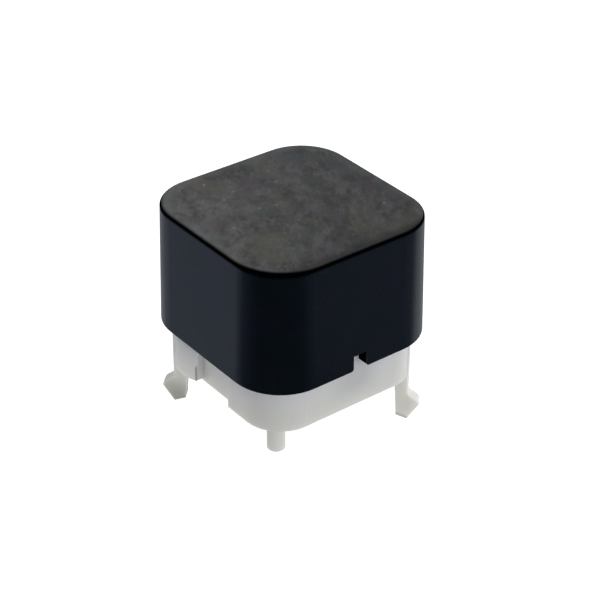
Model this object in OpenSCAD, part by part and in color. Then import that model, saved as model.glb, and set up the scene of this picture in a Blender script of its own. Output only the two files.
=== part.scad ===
// Snap-in tactile push button switch with a square key cap.
// Millimetres, +Z up. The origin is the middle of the seat on the board, at the board's top face.
// The front pin stands at the corner (-x, -y) and the two snap hooks at the corners (-x, +y) and (+x, -y).

/* [Key cap] */
// Width of the cap across its rim
cap_w = 15.0; // [14:0.1:18]
// Height of the cap from its rim to its top face
cap_h = 9.0; // [8.6:0.1:11]
// Corner radius of the cap at its rim
cap_corner_r = 3.7; // [3.2:0.1:4]
// Corner radius inside the cap at its rim
cap_inner_corner_r = 2.6; // [2.2:0.1:2.8]
// Lean of the cap's walls, in degrees
cap_draft = 1.2; // [0.6:0.1:1.6]
// Round along the edge of the top face
cap_edge_r = 0.2; // [0.2:0.05:0.6]
// Wall of the cap at its rim
cap_wall = 0.74; // [0.7:0.02:0.9]
// Thickness of the cap's top
cap_top_t = 0.9; // [0.7:0.05:1.2]
// Round on the inner edge of the rim
cap_rim_r = 0.3; // [0.1:0.05:0.4]
// Width of the notch in the front of the rim
notch_w = 1.1; // [0.8:0.02:2]
// Height of the notch
notch_h = 1.14; // [0.6:0.02:1.6]
// How far each side of the notch slants inwards through the wall
notch_slant = 0.09; // [0:0.01:0.3]
// Chamfer at the notch's mouth
notch_chamfer = 0.12; // [0.02:0.02:0.2]
// Thickness of the ribs that stiffen the top from inside
cap_rib_t = 0.7; // [0.5:0.05:1]
// Height of those ribs, as a share of the socket's depth
cap_rib_share = 0.6; // [0.3:0.05:0.8]
// Width of the guide ribs that run in the housing's grooves
guide_w = 3.1; // [2:0.1:3.2]
// Height of the guide ribs' lower ends above the rim
guide_lift = 0.3; // [0.1:0.05:0.8]

/* [Motion] */
// Height of the cap's rim over the board when nobody presses
rim_z = 3.55; // [3.4:0.05:4.5]
// Travel of the button
travel = 1.5; // [0.8:0.1:1.6]

/* [Clearances] */
// Gap between the cap's wall and the skirt, at the rim
cap_clearance = 0.14; // [0.1:0.01:0.2]
// Gap round the plunger and round the pusher in their bores
slide_clearance = 0.08; // [0.04:0.01:0.1]
// Gap between a guide rib and its groove
guide_clearance = 0.12; // [0.08:0.01:0.25]
// Gap between the contact base and the pocket that holds it
pocket_clearance = 0.03; // [0:0.01:0.05]
// Gap between the cap's socket and the sleeve when the button is down
stroke_gap = 0.3; // [0.2:0.05:0.4]
// Gap over the end of the post in its socket
post_gap = 0.08; // [0.04:0.02:0.2]

/* [Housing] */
// Corner radius of the skirt at the board
skirt_corner_r = 2.8; // [2.4:0.1:3.2]
// Lean of the skirt's walls, in degrees
skirt_draft = 0.5; // [0.3:0.1:1.2]
// Round along the housing's top edge
skirt_edge_r = 0.3; // [0.1:0.05:0.5]
// Height of the deck's top over the board
deck_z = 6.6; // [6.2:0.1:7]
// Thickness of the deck
deck_t = 1.0; // [0.8:0.1:1.2]
// Wall left between a groove and the cavity under the deck
groove_wall = 0.98; // [0.9:0.02:1.2]
// Corner radius of the cavity
cavity_corner_r = 1.0; // [0.6:0.1:1.4]
// Width of the grooves in the left and right walls
groove_w = 3.44; // [3.42:0.02:4.2]
// Depth of the grooves at the board
groove_d = 0.47; // [0.35:0.01:0.55]
// How far the notch and the grooves sit off the middle
middle_shift = 0.04; // [0:0.02:0.2]
// How far the feet beside the hooks stand out of the skirt
foot_proud = 0.22; // [0.1:0.02:0.3]
// Height of those feet
foot_h = 1.1; // [0.8:0.1:1.2]
// Height of the slope at a foot's top
foot_top_slope = 1.3; // [0.3:0.1:1.3]
// Length of a foot along the wall
foot_l = 2.45; // [1.4:0.05:2.5]
// How far a foot's free end is lifted off the board
foot_lift = 0.28; // [0.04:0.02:0.4]
// Length of the lifted end
foot_lift_l = 1.0; // [0.5:0.1:1.3]
// Wall of the sleeve that guides the plunger
sleeve_wall = 0.8; // [0.6:0.05:1]
// Height of the sleeve over the deck
sleeve_h = 1.4; // [1:0.1:1.5]
// Thickness of the webs between sleeve and deck
web_t = 0.6; // [0.4:0.05:0.8]
// Depth to which a web is rooted in the sleeve
web_root = 0.4; // [0.2:0.05:0.6]
// Distance from a web's top to the sleeve's top
web_drop = 0.4; // [0.2:0.05:0.8]
// Length of a web along the deck
web_l = 1.2; // [0.8:0.1:1.3]
// Width of the ribs that the contact base stops against
stop_rib_w = 1.2; // [0.8:0.1:1.6]
// Depth of those ribs
stop_rib_d = 0.5; // [0.3:0.05:0.6]

/* [Board fixing] */
// Thickness of the board that the hooks hold
board_t = 1.6; // [1.4:0.1:2]
// Height of the hooks' ribs above the cap's rim
hook_rib_h = 0.8; // [0.4:0.1:1.4]
// Depth to which those ribs are rooted in the corner
hook_rib_root = 0.5; // [0.3:0.05:0.7]
// Slack between the board and the hooks
board_slack = 0.12; // [0.05:0.01:0.2]
// How far a hook's leg stands out of the skirt's corner
hook_proud = 0.05; // [0.02:0.01:0.1]
// Thickness of a hook's leg at the top
hook_t = 1.0; // [0.8:0.05:1.1]
// How much thinner the leg is at its end
hook_taper = 0.2; // [0:0.05:0.3]
// Width of a hook
hook_w = 1.0; // [0.7:0.02:1.2]
// How far a hook's nose stands out
hook_reach = 0.83; // [0.5:0.01:1]
// Drop of the catching face
catch_drop = 0.48; // [0.3:0.02:0.6]
// Round between a hook's leg and its catching face
catch_r = 0.35; // [0.1:0.05:0.4]
// Drop of the short face at the nose
nose_drop = 0.24; // [0.1:0.02:0.4]
// Width of the short face at the nose
nose_inset = 0.15; // [0.05:0.01:0.3]
// Height of the lead-in below the nose
lead_in_h = 1.28; // [0.8:0.02:1.6]
// Slope of the hook's end face
hook_end_slope = 0.28; // [0:0.02:0.3]
// Diameter of a locating pin
pin_d = 1.25; // [1:0.05:1.4]
// Length of a locating pin below the seat
pin_l = 1.8; // [1.2:0.05:3]
// Distance from a pin's outside to the skirt's corner
pin_inset = 0.04; // [0.02:0.01:0.3]
// Chamfer at a pin's end
pin_chamfer = 0.12; // [0.05:0.01:0.3]

/* [Contact base] */
// Height of the floor that the dome stands on
floor_z = 1.5; // [1.3:0.05:1.7]
// Wall of the collar round the dome
collar_wall = 1.05; // [0.8:0.05:1.1]
// Thickness of the contact sheet
sheet_t = 0.25; // [0.2:0.01:0.3]
// Cover between the ring contact and the contact below it
insulation_t = 0.4; // [0.3:0.05:0.5]
// Inner radius of the ring contact
ring_inner_r = 1.9; // [1.7:0.05:2]
// Diameter of the middle contact
middle_d = 1.5; // [1:0.1:2]
// Width of the contact strips
strip_w = 0.9; // [0.6:0.05:1.1]
// Distance between the legs along x
leg_pitch_x = 6.5; // [6.2:0.1:7.5]
// Distance between the legs along y
leg_pitch_y = 4.5; // [4:0.1:5]
// Width of a leg
leg_w = 0.7; // [0.5:0.05:0.9]
// Length of a leg below the seat
leg_l = 3.4; // [2.8:0.1:3.5]
// Chamfer at a leg's end
leg_chamfer = 0.2; // [0.1:0.05:0.3]
// Length of the snap ridges that hold the base
ridge_l = 3.0; // [2:0.1:4]
// How far a ridge stands out
ridge_h = 0.2; // [0.1:0.02:0.3]

/* [Dome and pusher] */
// Diameter of the snap dome
dome_d = 5.0; // [4.6:0.1:5.1]
// Height of the dome inside
dome_rise = 0.3; // [0.26:0.01:0.35]
// Thickness of the dome's steel
dome_t = 0.08; // [0.05:0.01:0.1]
// Width of the dome across its trimmed sides
dome_flats = 4.3; // [4:0.1:4.5]
// Gap between the dome's edge and the collar
dome_gap = 0.15; // [0.1:0.01:0.2]
// Diameter of the pusher's nub
nub_d = 1.3; // [1:0.1:1.6]
// Height of the nub
nub_h = 0.3; // [0.25:0.05:0.4]
// Thickness of the pusher's disc
pusher_t = 0.6; // [0.4:0.05:0.6]
// Height of the spigot that centres the spring
spigot_h = 0.9; // [0.6:0.1:1.2]

/* [Plunger and spring] */
// Diameter of the plunger's stem
stem_d = 5.4; // [5:0.1:5.6]
// Thickness of the plunger's flange
flange_t = 0.9; // [0.6:0.1:1.1]
// Diameter of the plunger's flange
flange_d = 7.6; // [7.2:0.1:8]
// Width of the square post that carries the cap
post_w = 3.0; // [2.4:0.1:3.2]
// Wall round the socket in the cap
socket_wall = 1.0; // [0.8:0.05:1.1]
// Chamfer on the post's end
post_chamfer = 0.3; // [0.1:0.05:0.4]
// Height of the spring's chamber over the deck's underside
chamber_h = 2.3; // [2:0.1:2.6]
// Diameter of the spring's wire
wire_d = 0.3; // [0.2:0.02:0.35]
// Mean diameter of the spring
coil_d = 2.7; // [2.5:0.05:2.8]
// Gap between the spring and its chamber
chamber_gap = 0.2; // [0.15:0.05:0.3]
// Rise of a closed end turn, in wire diameters
closed_pitch = 1.05; // [1.02:0.01:1.2]
// Open turns of the spring
open_turns = 6; // [4:1:7]

/* [Hidden] */

eps = 0.01;
fine = 72;
overshoot = 1;
cap_top_z = rim_z + cap_h;
ceiling_z = cap_top_z - cap_top_t;
cap_in_half = cap_w / 2 - cap_wall;
skirt_half = cap_in_half - cap_clearance + rim_z * tan(skirt_draft);
skirt_corner_out = (skirt_half - skirt_corner_r) * sqrt(2) + skirt_corner_r;
hook_r = skirt_corner_out + hook_proud;
pin_r = skirt_corner_out - pin_inset - pin_d / 2;
groove_x = skirt_half - groove_d;
cavity_half = groove_x - groove_wall;
base_half = cavity_half - pocket_clearance;
groove_end_y = middle_shift + groove_w / 2;
guide_x = groove_x + guide_clearance;
deck_under_z = deck_z - deck_t;
sleeve_top_z = deck_z + sleeve_h;
bore_d = stem_d + 2 * slide_clearance;
sleeve_d = bore_d + 2 * sleeve_wall;
flange_z = deck_under_z - flange_t;
collar_top_z = flange_z - travel;
socket_z = sleeve_top_z + travel + stroke_gap;
cap_rib_z = ceiling_z - cap_rib_share * (ceiling_z - socket_z);
socket_d = post_w * sqrt(2) + 2 * socket_wall;
post_top_z = ceiling_z - 2 * post_gap;
collar_bore_d = dome_d + 2 * dome_gap;
collar_d = collar_bore_d + 2 * collar_wall;
dome_top_z = floor_z + dome_rise + dome_t;
disc_z = dome_top_z + nub_h;
disc_top_z = disc_z + pusher_t;
disc_d = collar_bore_d - 2 * slide_clearance;
chamber_top_z = deck_under_z + chamber_h;
chamber_d = coil_d + wire_d + 2 * chamber_gap;
spigot_d = coil_d - wire_d - chamber_gap;
low_strip_z = floor_z - 2 * sheet_t - insulation_t;
ring_z = floor_z - sheet_t;
closed_rise = wire_d * closed_pitch;
catch_z = -(board_t + board_slack);
catch_reach = hook_reach - nose_inset;
hook_nose_z = catch_z - catch_drop - nose_drop;
hook_end_z = hook_nose_z - lead_in_h;
hook_corners = [135, -45];
pin_corners = [-135, 45];

// Places the children, drawn for the corner sector and its side, round all four corners of a square.
// The first child is the sector's profile: x runs out from the corner's centre and y runs up.
module corner_sweep(centre) {
    for (turn = [0 : 90 : 270]) {
        rotate([0, 0, turn]) {
            translate([centre, centre, 0])
                rotate_extrude(angle = 90, $fn = fine)
                    children();
            translate([centre, centre, 0])
                rotate([90, 0, 0])
                    linear_extrude(2 * centre)
                        children();
        }
    }
}

// Profile of a leaning wall with a round along its top edge
module leaning_profile(r, h, draft, edge_r) {
    round_y = h - edge_r;
    round_x = r - round_y * tan(draft) - edge_r / cos(draft);
    touch = [round_x + edge_r * cos(draft), round_y + edge_r * sin(draft)];
    polygon([[0, 0], [r, 0], touch, [round_x, h], [0, h]]);
    translate([round_x, round_y])
        circle(r = edge_r, $fn = fine);
}

// Square block with round corners, leaning walls and a round along its top edge
module leaning_block(half, r, h, draft, edge_r) {
    centre = half - r;
    corner_sweep(centre)
        leaning_profile(r, h, draft, edge_r);
    translate([-centre, -centre, 0])
        cube([2 * centre, 2 * centre, h]);
}

// Inside of the cap, from below its rim up to the ceiling, with the round on the rim's inner edge
module cap_cavity() {
    depth = ceiling_z - rim_z;
    centre = cap_in_half - cap_inner_corner_r;
    lean = depth * tan(cap_draft);
    corner_sweep(centre)
        difference() {
            polygon([
                [0, -overshoot],
                [cap_inner_corner_r + cap_rim_r, -overshoot],
                [cap_inner_corner_r + cap_rim_r, 0],
                [cap_inner_corner_r, cap_rim_r],
                [cap_inner_corner_r - lean, depth],
                [0, depth]
            ]);
            translate([cap_inner_corner_r + cap_rim_r, cap_rim_r])
                circle(r = cap_rim_r, $fn = fine);
        }
    translate([-centre, -centre, -overshoot])
        cube([2 * centre, 2 * centre, depth + overshoot]);
}

// Guide rib on the inside of the cap's left wall
module guide_rib() {
    bottom_z = rim_z + guide_lift;
    translate([-cap_in_half - eps, middle_shift - guide_w / 2, bottom_z])
        cube([cap_in_half - guide_x + eps, guide_w, ceiling_z - bottom_z]);
}

// Notch through the front of the rim, with slanting sides and chamfers at its mouth
module rim_notch() {
    half = notch_w / 2;
    front_y = -cap_w / 2;
    back_y = front_y + cap_wall;
    slope = notch_slant / cap_wall;
    translate([middle_shift, 0, rim_z]) {
        translate([0, 0, -overshoot])
            linear_extrude(notch_h + overshoot)
                polygon([
                    [-half - slope * overshoot, front_y - overshoot],
                    [half + slope * overshoot, front_y - overshoot],
                    [half - notch_slant - slope * cap_wall, back_y + cap_wall],
                    [notch_slant + slope * cap_wall - half, back_y + cap_wall]
                ]);
        translate([0, back_y + eps, 0])
            rotate([90, 0, 0])
                linear_extrude(cap_wall + overshoot)
                    polygon([
                        [-half - notch_chamfer - overshoot, -overshoot],
                        [half + notch_chamfer + overshoot, -overshoot],
                        [half - notch_slant, notch_chamfer + notch_slant],
                        [notch_slant - half, notch_chamfer + notch_slant]
                    ]);
    }
}

// Socket in the middle of the cap, with the ribs that stiffen the top
module cap_socket() {
    difference() {
        union() {
            translate([0, 0, socket_z])
                cylinder(h = ceiling_z - socket_z, d = socket_d, $fn = fine);
            for (turn = [0, 90])
                rotate([0, 0, turn])
                    translate([-cap_in_half + cap_wall, -cap_rib_t / 2, cap_rib_z])
                        cube([2 * (cap_in_half - cap_wall), cap_rib_t, ceiling_z - cap_rib_z]);
        }
        translate([-post_w / 2, -post_w / 2, socket_z - overshoot])
            cube([post_w, post_w, post_top_z - socket_z + post_gap + overshoot]);
    }
}

module keycap() {
    color("#2b2e33") {
        difference() {
            translate([0, 0, rim_z])
                leaning_block(cap_w / 2, cap_corner_r, cap_h, cap_draft, cap_edge_r);
            translate([0, 0, rim_z])
                cap_cavity();
            rim_notch();
        }
        guide_rib();
        rotate([0, 0, 180])
            guide_rib();
        cap_socket();
    }
}

// Square post with a chamfered end, standing on the plunger's stem
module plunger_post() {
    half = post_w / 2;
    intersection() {
        post_slab(half);
        rotate([0, 0, 90])
            post_slab(half);
    }
}

// Slab with two chamfered edges: the post is what two of them have in common
module post_slab(half) {
    h = post_top_z - socket_z;
    translate([0, half, socket_z])
        rotate([90, 0, 0])
            linear_extrude(2 * half)
                polygon([
                    [-half, -overshoot / 2],
                    [half, -overshoot / 2],
                    [half, h - post_chamfer],
                    [half - post_chamfer, h],
                    [post_chamfer - half, h],
                    [-half, h - post_chamfer]
                ]);
}

module plunger() {
    color("#e8e6df") {
        difference() {
            union() {
                translate([0, 0, flange_z])
                    cylinder(h = socket_z - flange_z, d = stem_d, $fn = fine);
                translate([0, 0, flange_z])
                    cylinder(h = deck_under_z - flange_z, d = flange_d, $fn = fine);
            }
            translate([0, 0, flange_z - overshoot])
                cylinder(h = chamber_top_z - flange_z + overshoot, d = chamber_d, $fn = fine);
        }
        plunger_post();
    }
}

// Height of the spring's wire after a number of turns: one closed turn at each end, open turns between
function open_rise(length) = (length - 2 * closed_rise) / open_turns;
function coil_height(turns, length) =
    turns < 1 ? turns * closed_rise
    : turns > open_turns + 1 ? length - (open_turns + 2 - turns) * closed_rise
    : closed_rise + (turns - 1) * open_rise(length);

module actuating_spring() {
    steps = 16;
    sides = 8;
    turns = open_turns + 2;
    rings = turns * steps;
    wire_r = wire_d / 2;
    length = chamber_top_z - disc_top_z - wire_d;
    points = [
        for (i = [0 : rings], k = [0 : sides - 1])
            let (
                along = 360 * i / steps,
                round_wire = 360 * k / sides,
                r = coil_d / 2 + wire_r * cos(round_wire)
            )
            [
                r * cos(along),
                r * sin(along),
                coil_height(i / steps, length) + wire_r * sin(round_wire)
            ]
    ];
    walls = [
        for (i = [0 : rings - 1], k = [0 : sides - 1])
            [
                i * sides + k,
                i * sides + (k + 1) % sides,
                (i + 1) * sides + (k + 1) % sides,
                (i + 1) * sides + k
            ]
    ];
    first_end = [for (k = [sides - 1 : -1 : 0]) k];
    last_end = [for (k = [0 : sides - 1]) rings * sides + k];
    color("#b9bcc0")
        translate([0, 0, disc_top_z + wire_r])
            polyhedron(points = points, faces = concat([first_end], walls, [last_end]), convexity = 10);
}

module pusher() {
    color("#e8e6df") {
        translate([0, 0, dome_top_z])
            cylinder(h = nub_h, d = nub_d, $fn = fine);
        translate([0, 0, disc_z])
            cylinder(h = pusher_t, d = disc_d, $fn = fine);
        translate([0, 0, disc_top_z])
            cylinder(h = spigot_h, d = spigot_d, $fn = fine);
    }
}

// Thin steel dome, trimmed on four sides so that it stands on four feet
module snap_dome() {
    half = dome_d / 2;
    inner_r = (half * half + dome_rise * dome_rise) / (2 * dome_rise);
    centre_y = dome_rise - inner_r;
    color("#c9ccd1")
        translate([0, 0, floor_z])
            intersection() {
                rotate_extrude($fn = fine)
                    intersection() {
                        difference() {
                            translate([0, centre_y])
                                circle(r = inner_r + dome_t, $fn = fine * 3);
                            translate([0, centre_y])
                                circle(r = inner_r, $fn = fine * 3);
                        }
                        square([half, dome_rise + 2 * dome_t]);
                    }
                rotate([0, 0, 45])
                    translate([-dome_flats / 2, -dome_flats / 2, -overshoot])
                        cube([dome_flats, dome_flats, 2 * overshoot + dome_rise]);
            }
}

// Flat leg with a chamfered end, hanging from a strip whose underside is at the given height
module contact_leg(x, y, z) {
    translate([x, y + sheet_t / 2, 0])
        rotate([90, 0, 0])
            linear_extrude(sheet_t)
                polygon([
                    [-leg_w / 2, z],
                    [-leg_w / 2, leg_chamfer - leg_l],
                    [leg_chamfer - leg_w / 2, -leg_l],
                    [leg_w / 2 - leg_chamfer, -leg_l],
                    [leg_w / 2, leg_chamfer - leg_l],
                    [leg_w / 2, z]
                ]);
}

// Strip along x with a leg at each end
module contact_strip(y, z) {
    length = leg_pitch_x + leg_w;
    translate([-length / 2, y - strip_w / 2, z])
        cube([length, strip_w, sheet_t]);
    for (side = [-1, 1])
        contact_leg(side * leg_pitch_x / 2, y, z);
}

module centre_contact() {
    color("#d8d3c4") {
        contact_strip(leg_pitch_y / 2, low_strip_z);
        translate([-strip_w / 2, 0, low_strip_z])
            cube([strip_w, leg_pitch_y / 2, sheet_t]);
        translate([0, 0, low_strip_z])
            cylinder(h = floor_z - low_strip_z, d = middle_d, $fn = fine);
    }
}

module outer_contact() {
    color("#d8d3c4") {
        contact_strip(-leg_pitch_y / 2, ring_z);
        translate([0, 0, ring_z])
            difference() {
                cylinder(h = sheet_t, d = collar_bore_d, $fn = fine);
                translate([0, 0, -overshoot])
                    cylinder(h = sheet_t + 2 * overshoot, r = ring_inner_r, $fn = fine);
            }
    }
}

// Ridge of triangular section on the front side of the base, or the groove that takes it
module snap_ridge(extra) {
    middle_z = floor_z / 2;
    rise = ridge_h + extra;
    translate([-ridge_l / 2 - extra, -base_half, middle_z])
        rotate([90, 0, 90])
            linear_extrude(ridge_l + 2 * extra)
                polygon([[eps, -rise - eps], [-rise, 0], [eps, rise + eps]]);
}

module contact_base() {
    color("#3a3a3c")
        difference() {
            union() {
                rounded_plate(base_half, cavity_corner_r, 0, floor_z);
                translate([0, 0, floor_z])
                    cylinder(h = collar_top_z - floor_z, d = collar_d, $fn = fine);
                snap_ridge(0);
                rotate([0, 0, 180])
                    snap_ridge(0);
            }
            translate([0, 0, floor_z])
                cylinder(h = collar_top_z, d = collar_bore_d, $fn = fine);
            centre_contact();
            outer_contact();
        }
}

// Square plate with round corners, from one height to another
module rounded_plate(half, r, low, high) {
    centre = half - r;
    translate([0, 0, low]) {
        for (x = [-centre, centre], y = [-centre, centre])
            translate([x, y, 0])
                cylinder(h = high - low, r = r, $fn = fine);
        translate([-half, -centre, 0])
            cube([2 * half, 2 * centre, high - low]);
        translate([-centre, -half, 0])
            cube([2 * centre, 2 * half, high - low]);
    }
}

// Foot that stands out of the left wall beside the left hook, with a slope along its top
module skirt_foot() {
    root_x = groove_x - eps;
    translate([0, groove_end_y + foot_l, 0])
        rotate([90, 0, 0])
            linear_extrude(foot_l)
                polygon([
                    [-root_x, 0],
                    [-skirt_half - foot_proud, 0],
                    [-skirt_half - foot_proud, foot_h],
                    [-skirt_half, foot_h + foot_top_slope],
                    [-root_x, foot_h + foot_top_slope]
                ]);
}

// Wedge that lifts the free end of a foot off the board
module foot_relief() {
    translate([-groove_x, 0, 0])
        rotate([90, 0, -90])
            linear_extrude(skirt_half)
                polygon([
                    [-groove_end_y - foot_lift_l, 0],
                    [-groove_end_y - foot_lift_l, -overshoot],
                    [overshoot - groove_end_y, -overshoot],
                    [overshoot - groove_end_y, foot_lift * (1 + overshoot / foot_lift_l)]
                ]);
}

// Outline of a hook in its own plane: x runs out from the middle of the switch, y runs up
module hook_profile() {
    inner_r = hook_r - hook_t;
    polygon([
        [inner_r, eps],
        [inner_r, 0],
        [inner_r + hook_taper, hook_end_z + hook_end_slope],
        [hook_r, hook_end_z],
        [hook_r + hook_reach, hook_nose_z],
        [hook_r + catch_reach, hook_nose_z + nose_drop],
        [hook_r, catch_z],
        [hook_r, rim_z + hook_rib_h - hook_rib_root],
        [hook_r - hook_rib_root, rim_z + hook_rib_h],
        [hook_r - hook_rib_root, eps]
    ]);
}

// Round in the inner corner between a hook's leg and its catching face
module catch_fillet() {
    slope = atan(catch_drop / catch_reach);
    centre_y = catch_z + catch_r * (1 / cos(slope) - tan(slope));
    difference() {
        polygon([
            [hook_r - eps, catch_z - eps],
            [hook_r + catch_r * (1 - sin(slope)), centre_y - catch_r * cos(slope) - eps],
            [hook_r + catch_r * (1 - sin(slope)), centre_y - catch_r * cos(slope)],
            [hook_r, centre_y],
            [hook_r - eps, centre_y]
        ]);
        translate([hook_r + catch_r, centre_y])
            circle(r = catch_r, $fn = fine);
    }
}

module snap_hook(corner) {
    rotate([0, 0, corner])
        translate([0, hook_w / 2, 0])
            rotate([90, 0, 0])
                linear_extrude(hook_w) {
                    hook_profile();
                    catch_fillet();
                }
}

module locating_pin(corner) {
    rotate([0, 0, corner])
        translate([pin_r, 0, 0]) {
            translate([0, 0, pin_chamfer - pin_l])
                cylinder(h = pin_l - pin_chamfer + eps, d = pin_d, $fn = fine);
            translate([0, 0, -pin_l])
                cylinder(h = pin_chamfer, d1 = pin_d - 2 * pin_chamfer, d2 = pin_d, $fn = fine);
        }
}

// Groove outside the left wall, where one of the cap's guide ribs runs
module wall_groove() {
    translate([-groove_x - skirt_half, middle_shift - groove_w / 2, -overshoot])
        cube([skirt_half, groove_w, deck_z + 2 * overshoot]);
}

// Ribs inside the skirt that the contact base stops against
module stop_ribs() {
    for (turn = [0 : 90 : 270])
        rotate([0, 0, turn])
            translate([cavity_half - stop_rib_d, -stop_rib_w / 2, floor_z])
                cube([stop_rib_d + eps, stop_rib_w, deck_under_z - floor_z + eps]);
}

// Sleeve on the deck, with four webs
module guide_sleeve() {
    translate([0, 0, deck_z - eps])
        cylinder(h = sleeve_h + eps, d = sleeve_d, $fn = fine);
    for (turn = [45 : 90 : 315])
        rotate([0, 0, turn])
            translate([0, web_t / 2, 0])
                rotate([90, 0, 0])
                    linear_extrude(web_t)
                        polygon([
                            [sleeve_d / 2 - web_root, deck_z - eps],
                            [sleeve_d / 2 + web_l, deck_z - eps],
                            [sleeve_d / 2, sleeve_top_z - web_drop],
                            [sleeve_d / 2 - web_root, sleeve_top_z - web_drop]
                        ]);
}

module housing() {
    color("#cfd0cc") {
        difference() {
            union() {
                difference() {
                    leaning_block(skirt_half, skirt_corner_r, deck_z, skirt_draft, skirt_edge_r);
                    rounded_plate(cavity_half, cavity_corner_r, -overshoot, deck_under_z);
                    wall_groove();
                    rotate([0, 0, 180])
                        wall_groove();
                }
                stop_ribs();
                guide_sleeve();
                skirt_foot();
                rotate([0, 0, 180])
                    skirt_foot();
            }
            foot_relief();
            rotate([0, 0, 180])
                foot_relief();
            translate([0, 0, deck_under_z - overshoot])
                cylinder(h = deck_t + sleeve_h + 2 * overshoot, d = bore_d, $fn = fine);
            snap_ridge(pocket_clearance);
            rotate([0, 0, 180])
                snap_ridge(pocket_clearance);
        }
        for (corner = hook_corners)
            snap_hook(corner);
        for (corner = pin_corners)
            locating_pin(corner);
    }
}

keycap();
plunger();
actuating_spring();
pusher();
snap_dome();
centre_contact();
outer_contact();
contact_base();
housing();
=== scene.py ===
"""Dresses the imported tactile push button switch.

It gives the finishes, the wound spring, the snap dome, the camera, the lamps and the floor.
"""

import logging
import math
from dataclasses import dataclass, field
from enum import Enum
from typing import Any

import bmesh
import bpy
from mathutils import Matrix, Vector


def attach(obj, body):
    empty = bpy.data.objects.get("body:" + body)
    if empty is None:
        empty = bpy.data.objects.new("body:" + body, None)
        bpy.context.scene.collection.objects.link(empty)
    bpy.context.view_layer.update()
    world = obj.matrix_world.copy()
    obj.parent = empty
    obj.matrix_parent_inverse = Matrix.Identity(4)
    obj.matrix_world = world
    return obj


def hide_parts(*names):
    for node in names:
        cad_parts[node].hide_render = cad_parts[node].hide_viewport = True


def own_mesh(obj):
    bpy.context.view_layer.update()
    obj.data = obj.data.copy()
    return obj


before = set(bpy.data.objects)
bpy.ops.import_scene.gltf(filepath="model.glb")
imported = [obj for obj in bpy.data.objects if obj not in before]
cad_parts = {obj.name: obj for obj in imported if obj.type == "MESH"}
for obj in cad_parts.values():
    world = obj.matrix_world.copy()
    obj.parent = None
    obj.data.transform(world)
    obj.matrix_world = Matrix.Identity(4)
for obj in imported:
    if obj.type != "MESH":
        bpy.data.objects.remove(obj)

LOG = logging.getLogger("switch")
MM = 0.001
PER_M = 1000.0
NOISE_MIDDLE = 0.5
GRAIN_TURN = -37.0
ORIGIN = (0.0, 0.0, 0.0)
UPRIGHT = (0.0, 0.0, 1.0)

# Numbers of a Mix node's colour sockets, which come after those for values and vectors.
MIX_COLOURS = (6, 7)
MIX_RESULT = 2

Colour = tuple[float, float, float]
Point = tuple[float, float, float]
Pair = tuple[float, float]
Settings = dict[str, Any]
Inputs = dict[str | int, Any]


class Body(Enum):
    """The rigid bodies that the scene's own pieces ride on."""

    BASE = "base"
    PUSHER = "pusher"


class Slot(Enum):
    """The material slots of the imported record."""

    CAP = "cap_black"
    SLIDER = "slider_white"
    SPRING = "spring_steel"
    DOME = "dome_steel"
    CONTACT = "contact_plated"
    BASE = "base_grey"
    HOUSING = "housing_milky"


class Axis(Enum):
    """The axes of the row frame. Z points up from the board."""

    X = "X"
    Y = "Y"
    Z = "Z"


class Ray(Enum):
    """The kinds of ray that the stage tells apart."""

    CAMERA = "Is Camera Ray"
    GLOSSY = "Is Glossy Ray"
    TRANSMISSION = "Is Transmission Ray"


@dataclass(frozen=True)
class Pattern:
    """A noise pattern.

    It has a number of features in a millimetre, made longer along each axis by the stretch and
    turned about the upright axis, in degrees. Detail gives the octaves of finer noise, and rough
    their strength.
    """

    per_mm: float
    detail: float = 4.0
    stretch: Point = (1.0, 1.0, 1.0)
    rough: float = 0.55
    turn: float = 0.0


class Wire:
    """One output socket of a node, on which shader maths is written as plain expressions."""

    def __init__(self, graph: "Graph", socket: bpy.types.NodeSocket | None) -> None:
        """Keeps the graph and the socket, which an output node has not got."""
        self.graph = graph
        self.socket = socket

    def _maths(self, operation: str, left: Any, right: Any) -> "Wire":
        """The result of a Math node on two values or wires."""
        return self.graph.node("ShaderNodeMath", {"operation": operation}, {0: left, 1: right})

    def __add__(self, other: Any) -> "Wire":
        """self + other."""
        return self._maths("ADD", self, other)

    __radd__ = __add__

    def __sub__(self, other: Any) -> "Wire":
        """self - other."""
        return self._maths("SUBTRACT", self, other)

    def __rsub__(self, other: Any) -> "Wire":
        """other - self."""
        return self._maths("SUBTRACT", other, self)

    def __mul__(self, other: Any) -> "Wire":
        """self * other."""
        return self._maths("MULTIPLY", self, other)

    __rmul__ = __mul__

    def __abs__(self) -> "Wire":
        """The value without its sign."""
        return self.graph.node("ShaderNodeMath", {"operation": "ABSOLUTE"}, {0: self})

    def swing(self, amount: float) -> "Wire":
        """How far a noise lies from its middle, times an amount."""
        return (self - NOISE_MIDDLE) * amount


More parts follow.
